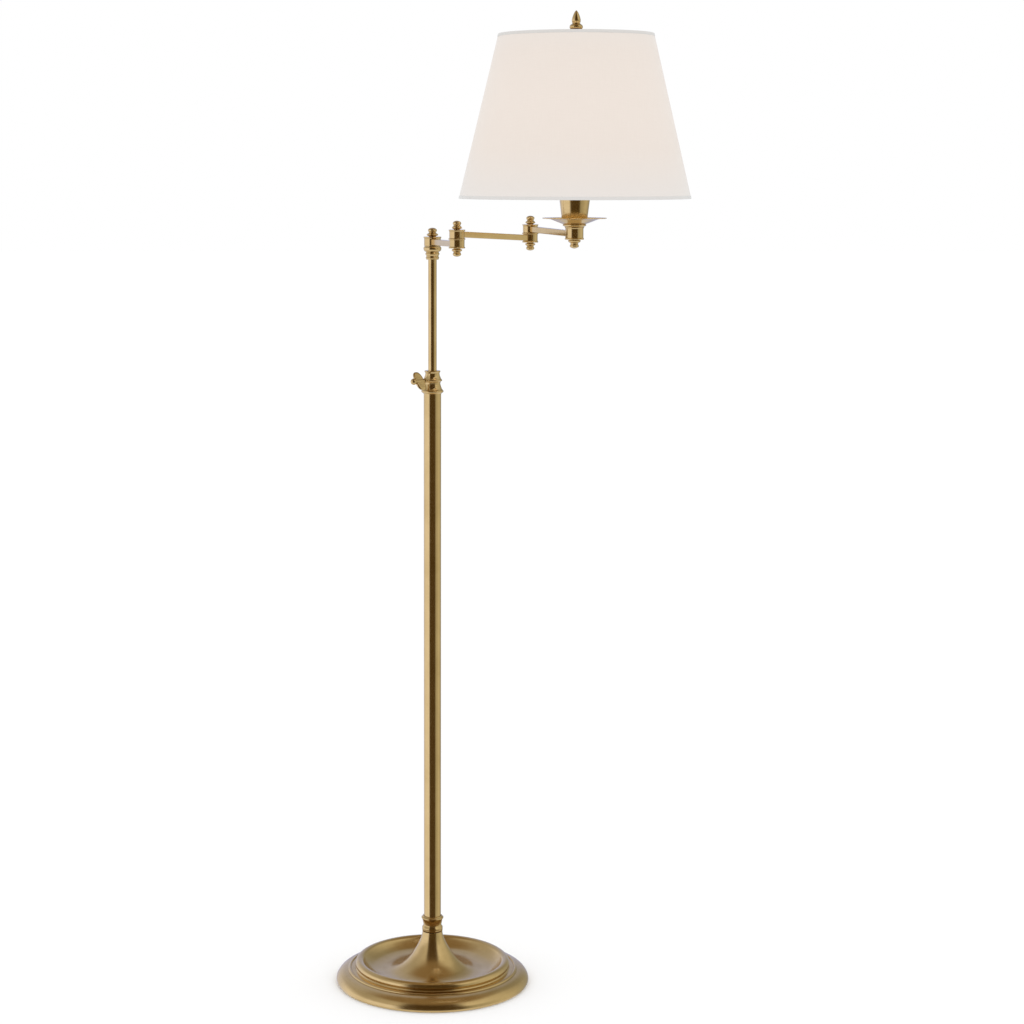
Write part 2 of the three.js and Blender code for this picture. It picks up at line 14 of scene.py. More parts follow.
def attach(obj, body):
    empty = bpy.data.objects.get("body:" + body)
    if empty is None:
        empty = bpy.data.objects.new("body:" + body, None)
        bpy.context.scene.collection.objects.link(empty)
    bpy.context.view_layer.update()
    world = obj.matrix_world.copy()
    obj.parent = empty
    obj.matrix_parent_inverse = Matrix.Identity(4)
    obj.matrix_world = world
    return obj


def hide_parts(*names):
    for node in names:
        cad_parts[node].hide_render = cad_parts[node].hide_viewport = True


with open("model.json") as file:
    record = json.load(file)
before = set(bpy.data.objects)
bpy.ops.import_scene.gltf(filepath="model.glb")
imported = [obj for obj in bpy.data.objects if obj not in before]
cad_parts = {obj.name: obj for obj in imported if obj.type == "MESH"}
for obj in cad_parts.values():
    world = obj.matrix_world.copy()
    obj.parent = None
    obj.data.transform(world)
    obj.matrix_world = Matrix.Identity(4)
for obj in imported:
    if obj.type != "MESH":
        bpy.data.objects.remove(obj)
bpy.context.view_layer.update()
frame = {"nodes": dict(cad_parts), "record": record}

MM = 0.001
BODY_OF = {
    node: body
    for body, nodes in frame["record"]["behaviour"]["bodies"].items()
    for node in nodes
}

# ---------------------------------------------------------------- driving dimensions, mm

ARM_LENGTH = 152.4
ARM_YAW = (-77.65, 47.9, -69.95)
BAR = 8.0
BAR_BORE = 5.6
BAR_IN_KNUCKLE = 3.0
BAR_Z = ((1069.2, 1071.1), (1084.1, 1075.8), (1088.0, 1085.2))

BASE_R = 139.6
GLAND_Z = 7.2
# Each tube: outer radius, bore radius, lowest z, highest z.
LOWER_TUBE = (12.3, 11.1, 87.2, 863.3)
UPPER_TUBE = (6.0, 4.9, 680.0, 1057.0)
CLAMP_Z = 857.8
SCREW_Z = 876.4
SCREW_YAW = 225.0
SCREW_LEAN = 34.0
HEAD_Z = 1044.9
SHOULDER_Z = 1064.0
KNUCKLE_H = 12.35
ELBOW_Z = (1077.8, 1082.1)
PIN_R = 3.2
PIN_HOLE_R = 3.6
LOWER_SEAT_R = LOWER_TUBE[0] + 0.35
UPPER_SEAT_R = UPPER_TUBE[0] + 0.35

SHOULDER_R = 11.6
KNUCKLE_R = 10.2
FLANGE_R = 11.1
LAMP_KNUCKLE_R = 11.9
LAMP_KNUCKLE_Z = 1077.9
PLATE_Z = 1098.3
PLATE_R = 42.5
CUP_Z = (1099.7, 1142.0)
CUP_R = (16.4, 21.4)
SOCKET_R = 16.0
DIMMER_Z = 1152.0
BULB_Z = 1228.0
BULB_R = 30.0
SADDLE_Z = 1143.2
HARP_LEG_X = 29.0

SHADE_Z = (1131.5, 1344.6)
SHADE_R = (152.4, 101.2)
RING_WIRE_R = 1.4
TOP_RING_Z = 1342.0
HUB_Z = 1347.1
FINIAL_Z = 1348.9


def along(yaw, distance):
    angle = math.radians(yaw)
    return Vector((math.cos(angle) * distance, math.sin(angle) * distance))


PIVOTS = [Vector((0.0, 0.0))]
for arm_yaw in ARM_YAW:
    PIVOTS.append(PIVOTS[-1] + along(arm_yaw, ARM_LENGTH))
SHOULDER, ELBOW_1, ELBOW_2, LAMP = PIVOTS

# ---------------------------------------------------------------- outlines


def arc(r, z, radius, start, end, steps=14):
    points = []
    for i in range(steps + 1):
        angle = math.radians(start + (end - start) * i / steps)
        points.append((r + radius * math.cos(angle), z + radius * math.sin(angle)))
    return points


def spline(a, b, c, d, t):
    """A point on the uniform Catmull-Rom curve that runs from b, at t = 0, to c, at t = 1."""
    square = 2 * a - 5 * b + 4 * c - d
    cube = 3 * b - a - 3 * c + d
    return 0.5 * (2 * b + (c - a) * t + square * t ** 2 + cube * t ** 3)


def smooth(points, steps):
    """An outline's curve through the points."""
    made = []
    for i in range(steps + 1):
        place = i / steps * (len(points) - 1)
        first = min(int(place), len(points) - 2)
        t = place - first
        p = [points[min(max(first + k, 0), len(points) - 1)] for k in (-1, 0, 1, 2)]
        made.append(tuple(spline(a, b, c, d, t) for a, b, c, d in zip(*p)))
    return made


def inset(points, wall):
    """The same line, moved to its left by a wall's thickness."""
    moved = []
    for i, (r, z) in enumerate(points):
        before, after = points[max(i - 1, 0)], points[min(i + 1, len(points) - 1)]
        dr, dz = after[0] - before[0], after[1] - before[1]
        length = math.hypot(dr, dz)
        moved.append((r - dz / length * wall, z + dr / length * wall))
    return moved


def mirrored(points, z):
    return [(r, 2 * z - height) for r, height in reversed(points)]


def between(a, b, share):
    return tuple(p + (q - p) * share for p, q in zip(a, b))


SHARP_TURN = 0.35
LONG_RUN = 2.4
WEAR_BAND = 0.7


def eased(outline, radius=0.35, steps=4, is_ring=True):
    """Rounds every corner that turns more than SHARP_TURN (radians).

    On a run longer than LONG_RUN it adds a point WEAR_BAND past the corner, so that wear stays at the edge.
    """
    count = len(outline)
    made = []
    for i, corner in enumerate(outline):
        if not is_ring and i in (0, count - 1):
            made.append(corner)
            continue
        before, after = outline[i - 1], outline[(i + 1) % count]
        back, ahead = math.dist(before, corner), math.dist(corner, after)
        turn = math.atan2(after[1] - corner[1], after[0] - corner[0])
        turn -= math.atan2(corner[1] - before[1], corner[0] - before[0])
        turn = abs((turn + math.pi) % (2 * math.pi) - math.pi)
        if min(back, ahead) < 1e-6 or corner[0] < 1e-6:
            made.append(corner)
            continue
        if turn <= SHARP_TURN or radius == 0:
            made.append(corner)
            continue
        reach = min(radius * math.tan(turn / 2), 0.4 * back, 0.4 * ahead)
        if back > LONG_RUN:
            made.append(between(corner, before, (reach + WEAR_BAND) / back))
        start, end = between(corner, before, reach / back), between(corner, after, reach / ahead)
        for k in range(steps + 1):
            t = k / steps
            made.append(between(between(start, corner, t), between(corner, end, t), t))
        if ahead > LONG_RUN:
            made.append(between(corner, after, (reach + WEAR_BAND) / ahead))
    return made


# ---------------------------------------------------------------- meshes


def edge_wear(outline, is_ring):
    """How far each point of an outline stands out (to 1) or lies in a groove (to -1)."""
    count = len(outline)
    wear = []
    for i, corner in enumerate(outline):
        if not is_ring and i in (0, count - 1):
            wear.append(0.0)
            continue
        before, after = outline[i - 1], outline[(i + 1) % count]
        d1 = (corner[0] - before[0], corner[1] - before[1])
        d2 = (after[0] - corner[0], after[1] - corner[1])
        turn = math.atan2(d1[0] * d2[1] - d1[1] * d2[0], d1[0] * d2[0] + d1[1] * d2[1])
        run = max(0.5 * (math.hypot(*d1) + math.hypot(*d2)), 0.1)
        wear.append(math.tanh(1.1 * turn / run))
    return wear


def mesh_piece(name, vertices, faces, wear=None, sharp=32.0):
    mesh = bpy.data.meshes.new(name)
    mesh.from_pydata([Vector(v) * MM for v in vertices], [], faces)
    mesh.validate()
    if wear is not None:
        layer = mesh.attributes.new("wear", "FLOAT", "POINT")
        layer.data.foreach_set("value", wear)
    return smooth_piece(name, mesh, sharp)


def smooth_piece(name, mesh, sharp=32.0):
    work = bmesh.new()
    work.from_mesh(mesh)
    bmesh.ops.recalc_face_normals(work, faces=work.faces)
    work.to_mesh(mesh)
    work.free()
    for face in mesh.polygons:
        face.use_smooth = True
    mesh.set_sharp_from_angle(angle=math.radians(sharp))
    piece = bpy.data.objects.new(name, mesh)
    bpy.context.scene.collection.objects.link(piece)
    return piece


def turned(name, outline, sides=96, ease=0.35, flutes=None):
    """Turns an outline about Z. It runs up the outside and down the bore, or starts and ends on the axis.

    flutes is (count, depth, lowest z, highest z) for a gripped band round the piece.
    """
    is_ring = outline[0][0] > 0 and outline[-1][0] > 0
    line = eased(outline, ease, is_ring=is_ring)
    wear = edge_wear(line, is_ring)
    vertices, wears, rows = [], [], []
    for (r, z), value in zip(line, wear):
        if r < 1e-6:
            rows.append([len(vertices)] * sides)
            vertices.append((0.0, 0.0, z))
            wears.append(value)
            continue
        rows.append([len(vertices) + i for i in range(sides)])
        for i in range(sides):
            angle = 2 * math.pi * i / sides
            radius = r
            if flutes and flutes[2] <= z <= flutes[3]:
                radius -= flutes[1] * (0.5 - 0.5 * math.cos(angle * flutes[0])) ** 2
            vertices.append((radius * math.cos(angle), radius * math.sin(angle), z))
            wears.append(value)
    faces = []
    pairs = list(zip(rows, rows[1:])) + ([(rows[-1], rows[0])] if is_ring else [])
    for low, high in pairs:
        for i in range(sides):
            j = (i + 1) % sides
            corners = (low[i], low[j], high[j], high[i])
            face = [v for k, v in enumerate(corners) if v != corners[k - 1]]
            if len(face) > 2:
                faces.append(face)
    return mesh_piece(name, vertices, faces, wears)


def pipe(outer, bore, low, high):
    return [(bore, low), (outer, low), (outer, high), (bore, high)]


def rod(radius, low, high):
    return [(0, low), (radius, low), (radius, high), (0, high)]


def catmull(points, steps):
    """A smooth line in space through the points."""
    made = []
    for i in range(len(points) - 1):
        a, b = points[max(i - 1, 0)], points[i]
        c, d = points[i + 1], points[min(i + 2, len(points) - 1)]
        made += [spline(a, b, c, d, k / steps) for k in range(steps)]
    made.append(points[-1])
    return made


def swept(name, line, radius, sides=20, closed=False):
    """A round wire along a line."""
    count = len(line)
    vertices, faces = [], []
    normal = None
    for i, point in enumerate(line):
        before = line[i - 1] if closed or i else point
        after = line[(i + 1) % count] if closed or i < count - 1 else point
        tangent = (after - before).normalized()
        if normal is None:
            normal = tangent.orthogonal().normalized()
        normal = (normal - tangent * normal.dot(tangent)).normalized()
        side = tangent.cross(normal)
        for k in range(sides):
            angle = 2 * math.pi * k / sides
            vertices.append(point + (normal * math.cos(angle) + side * math.sin(angle)) * radius)
    for i in range(count if closed else count - 1):
        j = (i + 1) % count
        for k in range(sides):
            m = (k + 1) % sides
            faces.append((i * sides + k, i * sides + m, j * sides + m, j * sides + k))
    if not closed:
        faces.append(tuple(range(sides)))
        faces.append(tuple((count - 1) * sides + k for k in range(sides)))
    return mesh_piece(name, vertices, faces, [0.0] * len(vertices))


def bevelled_block(name, x, y, z, edge=0.6):
    work = bmesh.new()
    bmesh.ops.create_cube(work, size=1.0)
    for vertex in work.verts:
        vertex.co = Vector([
            (low + high) / 2 + (high - low) * co for (low, high), co in zip((x, y, z), vertex.co)
        ]) * MM
    bmesh.ops.bevel(work, geom=work.edges[:], offset=edge * MM, segments=3, profile=0.5, affect="EDGES")
    mesh = bpy.data.meshes.new(name)
    work.to_mesh(mesh)
    work.free()
    mesh.attributes.new("wear", "FLOAT", "POINT")
    return smooth_piece(name, mesh)


def united(piece, *others):
    """Joins bodies that run into each other into one closed body."""
    for other in others:
        modifier = piece.modifiers.new("join", "BOOLEAN")
        modifier.operation = "UNION"
        modifier.solver = "EXACT"
        modifier.object = other
        graph = bpy.context.evaluated_depsgraph_get()
        mesh = bpy.data.meshes.new_from_object(piece.evaluated_get(graph))
        piece.modifiers.clear()
        piece.data = mesh
        bpy.data.objects.remove(other)
    piece.data.set_sharp_from_angle(angle=math.radians(32.0))
    return piece


def placed(piece, matrix):
    piece.data.transform(matrix)
    return piece


def turn(degrees, axis):
    return Matrix.Rotation(math.radians(degrees), 4, axis)


def shift(x, y, z):
    return Matrix.Translation(Vector((x, y, z)) * MM)


def stand(piece, axis, node, look):
    """Puts a piece, built about Z, on its pivot axis, and lets it stand for its CAD node."""
    piece.location = (axis.x * MM, axis.y * MM, 0.0)
    piece.data.materials.clear()
    piece.data.materials.append(look)
    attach(piece, BODY_OF[node])
    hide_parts(node)
    return piece


# ---------------------------------------------------------------- materials


class Look:
    """A material's node tree, with short ways to add and join nodes."""

    def __init__(self, name):
        self.material = bpy.data.materials.new(name)
        self.material.use_nodes = True
        self.tree = self.material.node_tree
        self.tree.nodes.clear()

    def add(self, kind, inputs=None, output=0, **settings):
        node = self.tree.nodes.new(kind)
        for key, value in settings.items():
            setattr(node, key, value)
        for key, value in (inputs or {}).items():
            if isinstance(value, bpy.types.NodeSocket):
                self.tree.links.new(value, node.inputs[key])
            else:
                node.inputs[key].default_value = value
        return node.outputs[output]

    def math(self, operation, a, b=0.0, clamp=False):
        return self.add("ShaderNodeMath", {0: a, 1: b}, operation=operation, use_clamp=clamp)

    def scaled(self, vector, factors):
        return self.add("ShaderNodeVectorMath", {0: vector, 1: factors}, operation="MULTIPLY")

    def noise(self, vector, scale, detail=3.0, roughness=0.5):
        return self.add("ShaderNodeTexNoise", {
            "Vector": vector, "Scale": scale, "Detail": detail, "Roughness": roughness,
        })

    def ramp(self, value, low, high, to_low=0.0, to_high=1.0):
        return self.add("ShaderNodeMapRange", {
            "Value": value, "From Min": low, "From Max": high, "To Min": to_low, "To Max": to_high,
        })

    def blend(self, share, a, b):
        node = self.tree.nodes.new("ShaderNodeMix")
        node.data_type = "RGBA"
        for index, value in ((0, share), (6, a), (7, b)):
            if isinstance(value, bpy.types.NodeSocket):
                self.tree.links.new(value, node.inputs[index])
            else:
                node.inputs[index].default_value = value
        return node.outputs[2]

    def bump(self, height, strength, distance, normal=None):
        inputs = {"Height": height, "Strength": strength, "Distance": distance}
        if normal is not None:
            inputs["Normal"] = normal
        return self.add("ShaderNodeBump", inputs)

    def surface(self, shader):
        output = self.tree.nodes.new("ShaderNodeOutputMaterial")
        self.tree.links.new(shader, output.inputs["Surface"])
        return self.material

    def principled(self, **inputs):
        named = {key.replace("_", " "): value for key, value in inputs.items()}
        return self.add("ShaderNodeBsdfPrincipled", named)


def rgb(red, green, blue):
    return (red, green, blue, 1.0)


def metal(name, bright, aged, dark, rough, grain):
    """An aged metal: clouds of tarnish, polished edges, dark grooves, and fine marks from its making.

    grain is "turned" for rings round the piece's axis, "drawn" for lines along Z, or "cast" for neither.
    """
    look = Look(name)
    place = look.add("ShaderNodeTexCoord", output=3)
    split = look.tree.nodes.new("ShaderNodeSeparateXYZ")
    look.tree.links.new(place, split.inputs[0])
    x, y, z = split.outputs
    radius = look.math("SQRT", look.math("ADD", look.math("MULTIPLY", x, x), look.math("MULTIPLY", y, y)))
    clouds = look.ramp(look.noise(place, 26.0, 4.0, 0.6), 0.36, 0.68)
    spots = look.ramp(look.noise(place, 420.0, 2.0, 0.6), 0.62, 0.78)
    wear = look.add("ShaderNodeAttribute", output=2, attribute_name="wear")
    worn = look.ramp(wear, 0.15, 0.8)
    groove = look.ramp(wear, -0.1, -0.7)
    if grain == "cast":
        marks = look.noise(place, 900.0, 4.0, 0.7)
        fine, depth = marks, 0.00012
    else:
        if grain == "turned":
            flat = look.add("ShaderNodeCombineXYZ", {0: radius, 2: z})
        else:
            flat = look.scaled(place, (1.0, 1.0, 0.012))
        marks = look.noise(flat, 900.0, 3.0, 0.7)
        fine = look.noise(flat, 4200.0, 2.0, 0.6)
        depth = 0.00003
    streaks = look.ramp(marks, 0.3, 0.7, -0.5, 0.5)
    tone = look.math("MULTIPLY", clouds, 0.6)
    tone = look.math("ADD", tone, look.math("MULTIPLY", streaks, 0.3), clamp=True)
    colour = look.blend(tone, bright, aged)
    colour = look.blend(look.math("MULTIPLY", spots, 0.1), colour, dark)
    colour = look.blend(look.math("MULTIPLY", groove, 0.4), colour, dark)
    colour = look.blend(look.math("MULTIPLY", worn, 0.5), colour, bright)
    smudges = look.ramp(look.noise(place, 75.0, 5.0, 0.65), 0.3, 0.7, -0.5, 0.5)
    roughness = look.math("ADD", look.math("MULTIPLY", smudges, 0.05), rough)
    roughness = look.math("ADD", roughness, look.math("MULTIPLY", streaks, 0.05))
    roughness = look.math("ADD", roughness, look.math("MULTIPLY", groove, 0.1))
    roughness = look.math("SUBTRACT", roughness, look.math("MULTIPLY", worn, 0.05), clamp=True)
    normal = look.bump(fine, 0.05, depth)
    normal = look.bump(look.noise(place, 160.0, 2.0, 0.5), 0.03, 0.00008, normal)
    shader = look.principled(Base_Color=colour, Metallic=1.0, Roughness=roughness, Normal=normal)
    return look.surface(shader)


BRASS_BRIGHT = rgb(0.69, 0.51, 0.25)
BRASS_AGED = rgb(0.56, 0.40, 0.175)
BRASS_DARK = rgb(0.13, 0.075, 0.028)

BRASS_TURNED = metal("antique_brass_turned", BRASS_BRIGHT, BRASS_AGED, BRASS_DARK, 0.17, "turned")
BRASS_SPUN = metal("antique_brass_spun", BRASS_BRIGHT, BRASS_AGED, BRASS_DARK, 0.22, "turned")
BRASS_DRAWN = metal("antique_brass_drawn", BRASS_BRIGHT, BRASS_AGED, BRASS_DARK, 0.17, "drawn")
BRASS_CAST = metal("antique_brass_cast", BRASS_BRIGHT, BRASS_AGED, BRASS_DARK, 0.24, "cast")
STEEL = metal(
    "zinc_steel", rgb(0.58, 0.58, 0.57), rgb(0.42, 0.42, 0.41), rgb(0.1, 0.09, 0.08), 0.34, "turned",
)
IRON = metal(
    "cast_iron", rgb(0.16, 0.155, 0.15), rgb(0.09, 0.085, 0.08), rgb(0.05, 0.02, 0.01), 0.62, "cast",
)


def moulded(name, colour, shaded, rough, grain_scale):
    """A moulded or pressed material with a fine grain and a slight mottling."""
    look = Look(name)
    place = look.add("ShaderNodeTexCoord", output=3)
    mottle = look.ramp(look.noise(place, 60.0, 4.0, 0.6), 0.3, 0.7)
    grain = look.noise(place, grain_scale, 3.0, 0.65)
    tint = look.blend(mottle, colour, shaded)
    roughness = look.ramp(look.noise(place, 140.0, 3.0), 0.3, 0.7, rough - 0.08, rough + 0.08)
    normal = look.bump(grain, 0.35, 0.00006)
    return look.surface(look.principled(Base_Color=tint, Roughness=roughness, Normal=normal))


PHENOLIC = moulded("phenolic", rgb(0.035, 0.024, 0.018), rgb(0.02, 0.014, 0.011), 0.4, 1500.0)
NYLON = moulded("nylon", rgb(0.78, 0.75, 0.68), rgb(0.7, 0.66, 0.58), 0.5, 900.0)
LINER = moulded("styrene_liner", rgb(0.88, 0.86, 0.82), rgb(0.84, 0.81, 0.76), 0.42, 500.0)


def felt():
    look = Look("felt")
    place = look.add("ShaderNodeTexCoord", output=3)
    fibres = look.noise(look.scaled(place, (1.0, 1.0, 4.0)), 1400.0, 4.0, 0.75)
    tufts = look.noise(place, 240.0, 3.0, 0.6)
    colour = look.blend(look.ramp(fibres, 0.3, 0.7), rgb(0.03, 0.022, 0.017), rgb(0.075, 0.058, 0.044))
    normal = look.bump(look.math("ADD", fibres, tufts), 0.8, 0.0004)
    return look.surface(look.principled(
        Base_Color=colour, Roughness=0.95, Normal=normal, Sheen_Weight=0.4, Sheen_Roughness=0.5,
    ))


def frosted_glass():
    """The bulb, lit: brightest at its crown, dimmer round its neck."""
    look = Look("frosted_glass")
    place = look.add("ShaderNodeTexCoord", output=3)
    split = look.tree.nodes.new("ShaderNodeSeparateXYZ")
    look.tree.links.new(place, split.inputs[0])
    crown = look.ramp(split.outputs[2], (BULB_Z - 45) * MM, (BULB_Z + 5) * MM, 0.25, 1.0)
    frost = look.noise(place, 700.0, 3.0, 0.6)
    glow = look.math("MULTIPLY", crown, look.ramp(frost, 0.2, 0.8, 2.2, 2.5))
    normal = look.bump(frost, 0.2, 0.00005)
    return look.surface(look.principled(
        Base_Color=rgb(0.93, 0.91, 0.87), Roughness=0.35, Normal=normal,
        Emission_Color=rgb(1.0, 0.74, 0.5), Emission_Strength=glow,
    ))


THREAD_PITCH = 0.0011


def linen(name, warp_turn, glow, hollow_tone, ridge_tone, slub_tone, tone_beyond_painted_bulb_warmth):
    """Plain-woven linen with slubs, read from its flat pattern.

    glow is how strongly the bulb's light coming through is painted on the cloth as a warm emission, and the
    last tone is the cloth's colour furthest from the bulb, where the warmth painted near the bulb has faded.
    """
    look = Look(name)
    flat = look.add("ShaderNodeUVMap", uv_map="flat_pattern")
    turned_by = {"Vector": flat, "Angle": math.radians(warp_turn)}
    flat = look.add("ShaderNodeVectorRotate", turned_by, rotation_type="Z_AXIS")
    split = look.tree.nodes.new("ShaderNodeSeparateXYZ")
    look.tree.links.new(flat, split.inputs[0])
    waves = 2 * math.pi / THREAD_PITCH
    across = look.math("MULTIPLY", split.outputs[0], waves)
    up = look.math("MULTIPLY", split.outputs[1], waves)
    warp, weft = look.math("SINE", across), look.math("SINE", up)
    over = look.math("MULTIPLY", warp, weft)
    slub_warp = look.noise(look.scaled(flat, (1.0, 0.05, 1.0)), 900.0, 3.0, 0.6)
    slub_weft = look.noise(look.scaled(flat, (0.05, 1.0, 1.0)), 900.0, 3.0, 0.6)
    slubs = look.math("ADD", slub_warp, slub_weft)
    height = look.math("ADD", look.math("MULTIPLY", over, 0.3), slubs)
    mottle = look.noise(flat, 30.0, 4.0, 0.6)
    thread = look.ramp(look.math("ADD", slubs, look.math("MULTIPLY", over, 0.08)), 0.75, 1.25)
    colour = look.blend(thread, hollow_tone, ridge_tone)
    colour = look.blend(look.ramp(mottle, 0.35, 0.65, 0.0, 0.3), colour, slub_tone)
    place = look.add("ShaderNodeTexCoord", output=3)
    bulb = (0.0, 0.0, BULB_Z * MM)
    away = look.add("ShaderNodeVectorMath", {0: place, 1: bulb}, output=1, operation="DISTANCE")
    # Painted bulb light: the cloth's colour is warmer near the bulb and turns to the cooler last tone away
    # from it.
    colour = look.blend(look.ramp(away, 0.14, 0.178, 0.0, 0.8), colour, tone_beyond_painted_bulb_warmth)
    # Painted glow: a warm emission on the cloth, strongest nearest the bulb and a little weaker through thick
    # slubs, stands in for the bulb's light shining through.
    lit = look.ramp(away, 0.17, 0.11, 0.4, 1.0)
    lit = look.math("MULTIPLY", lit, look.ramp(slubs, 0.7, 1.3, 1.03, 0.97))
    normal = look.bump(height, 0.35, 0.00015)
    return look.surface(look.principled(
        Base_Color=colour, Roughness=0.88, Normal=normal, Sheen_Weight=0.3, Sheen_Roughness=0.4,
        Sheen_Tint=rgb(0.86, 0.96, 1.0),
        Emission_Color=rgb(1.0, 0.76, 0.62), Emission_Strength=look.math("MULTIPLY", lit, glow),
    ))


FELT = felt()
GLASS = frosted_glass()
# The three thread tones carry painted warmth from the bulb's light; the last tone is the cloth away from the
# bulb.
LINEN = linen(
    "linen", 0.0, 0.078, rgb(0.735, 0.668, 0.612), rgb(0.76, 0.692, 0.635), rgb(0.737, 0.667, 0.608),
    rgb(0.745, 0.712, 0.685),
)
LINEN_TAPE = linen(
    "linen_tape", 45.0, 0.02, rgb(0.62, 0.6, 0.575), rgb(0.66, 0.64, 0.615), rgb(0.63, 0.61, 0.58),
    rgb(0.68, 0.665, 0.65),
)


def turned_piece(node, outline, look=BRASS_TURNED, axis=SHOULDER, sides=96, ease=0.35):
    piece = turned(f"{node}_fine", outline, sides, ease)
    return stand(piece, axis, node, look)


# ---------------------------------------------------------------- base

WALL = 1.6
BEAD = (105.2, 26.6)
rim = smooth([(138.5, 0.6), (BASE_R, 3.6), (138.9, 7.8), (135, 13.2), (129.4, 16.7), (123.2, 18.6)], 40)
step = arc(119.9, 19.5, 2, 0, 160)
bead = arc(*BEAD, 6.7, -35, 150, 30)
dish = smooth([
    (97, 27.4), (92.5, 23.6), (86, 20), (78, 17.9), (70, 17), (62, 17.3), (55, 19.2), (48, 22.4), (40, 28.3),
    (34, 34.4), (28.2, 42), (20.4, 55), (16.6, 64), (14.9, 70.5), (14.5, 74.4),
], 84)
inside = [*inset(rim, WALL)[::3], (111, 19.3), *arc(*BEAD, 4.9, -35, 140, 8), *inset(dish, WALL)[::3]]
outside = [*rim, *step, (112, 21), *bead, *dish]
turned_piece("base_shell", outside + inside[::-1], BRASS_SPUN, sides=288, ease=0.25)

turned_piece("base_collar", [
    (5.5, 74.8), (13.2, 74.8), (14.8, 75.5), (15, 76.8), (14.4, 77.6), (14.9, 78.4), (15, 80.2), (14.2, 81.7),
    (13.1, 83.3), (13.2, 85), (14, 88.6), (14.5, 91.6), *arc(14.3, 94.4, 1.7, -60, 75), (13.6, 97.6),
    (LOWER_SEAT_R, 97.8), (LOWER_SEAT_R, 86.9), (5.5, 86.9),
])

GLAND_SEAT = BASE_R + 0.3
gland = turned("cord_gland_fine", [
    (2.6, 118), (3.9, 118), (3.9, GLAND_SEAT), (6, GLAND_SEAT), (6, GLAND_SEAT + 1), (5.2, GLAND_SEAT + 1.8),
    (2.6, GLAND_SEAT + 1.8),
], 48)
placed(gland, shift(0, 0, GLAND_Z) @ turn(-90, "X"))
stand(gland, SHOULDER, "cord_gland", PHENOLIC)

felt_disc = turned_piece("felt_pad", rod(130, 0, 2), FELT, sides=192, ease=0.8)

# ---------------------------------------------------------------- post

turned_piece("lower_tube", pipe(*LOWER_TUBE), BRASS_DRAWN)
turned_piece("upper_tube", pipe(*UPPER_TUBE), BRASS_DRAWN)
turned_piece("clamp_collar", [
    (LOWER_SEAT_R, CLAMP_Z), (13.4, CLAMP_Z), *arc(14, CLAMP_Z + 3, 1.75, -65, 55), (13.3, 864.4),
    (12.4, 867), (11.1, 871.2), (11.6, 873.8), *arc(12.4, SCREW_Z, 1.35, -65, 65), (11.9, 879.2),
    (10.4, 883.2), (10, 886.4), (11.2, 888.4), (11.3, 889.3), (10.7, 889.9), (7, 889.9),
    (UPPER_SEAT_R, 889.2), (UPPER_SEAT_R, 863.6), (LOWER_SEAT_R, 863.6),
])
turned_piece("post_head", [
    (UPPER_SEAT_R, HEAD_Z), (8.6, HEAD_Z), *arc(8.2, HEAD_Z + 2.5, 1.3, -60, 60), (8.5, 1050),
    *arc(8.6, 1052.8, 1.4, -55, 55),
    *smooth([(8.9, 1055.4), (10.8, 1056.4), (12, 1058), (12.5, 1060), (12.3, 1061.7), (11.5, 1062.9)], 24),
    (3.7, 1062.9), (3.7, 1057.3), (UPPER_SEAT_R, 1057.3),
])


def full_oval(degrees):
    """A point of an oval of half-size 1, with fuller shoulders than an ellipse."""
    angle = math.radians(degrees)
    return tuple(math.copysign(abs(value) ** 0.8, value) for value in (math.cos(angle), math.sin(angle)))


def paddle(name, middle, half_length, half_width, thickness):
    """An oval thumb plate in the XZ plane, with a rounded rim and slightly dished faces."""
    rings, sides = 26, 96
    vertices, wear, faces = [], [], []
    for face_side in (1, -1):
        for i in range(rings):
            share = i / rings
            edge = max(0.0, (share - 0.78) / 0.22)
            dish_depth = 0.3 * max(0.0, 1 - (share / 0.8) ** 4) ** 2
            half = (thickness / 2 - dish_depth) * math.sqrt(max(0.0, 1 - edge ** 2.2))
            for k in range(sides):
                wide, tall = full_oval(360 * (k + 0.5) / sides)
                height = middle + half_length * share * tall
                vertices.append((half_width * share * wide, face_side * half, height))
                wear.append(0.5 * edge + (0.3 if 0.78 < share < 0.88 else 0.0))
    rim_start = len(vertices)
    for k in range(sides):
        wide, tall = full_oval(360 * (k + 0.5) / sides)
        vertices.append((half_width * wide, 0.0, middle + half_length * tall))
        wear.append(0.6)
    for base in (0, rings * sides):
        last = base + (rings - 1) * sides
        for k in range(sides):
            m = (k + 1) % sides
            for i in range(rings - 1):
                low, high = base + i * sides, base + (i + 1) * sides
                faces.append((low + k, low + m, high + m, high + k))
            faces.append((last + k, last + m, rim_start + m, rim_start + k))
    piece = mesh_piece(name, vertices, faces, wear)
    work = bmesh.new()
    work.from_mesh(piece.data)
    bmesh.ops.remove_doubles(work, verts=work.verts, dist=1e-6)
    bmesh.ops.recalc_face_normals(work, faces=work.faces)
    work.to_mesh(piece.data)
    work.free()
    return piece


stem = turned("screw_stem", [
    (0, 6.6), (2, 6.6), (2, 14.3), (3.4, 14.6), (3.4, 16.2), (2.3, 17.4), (2.3, 32.4),
    *arc(0, 36.8, 4.5, -60, 90, 24),
], 48)
screw = united(paddle("thumbscrew_fine", 25.6, 8.3, 14.6, 4.0), stem)
placed(screw, shift(0, 0, SCREW_Z) @ turn(SCREW_YAW, "Z") @ turn(90, "Y") @ turn(SCREW_LEAN, "Z"))
stand(screw, SHOULDER, "thumbscrew", BRASS_CAST)

# ---------------------------------------------------------------- arms


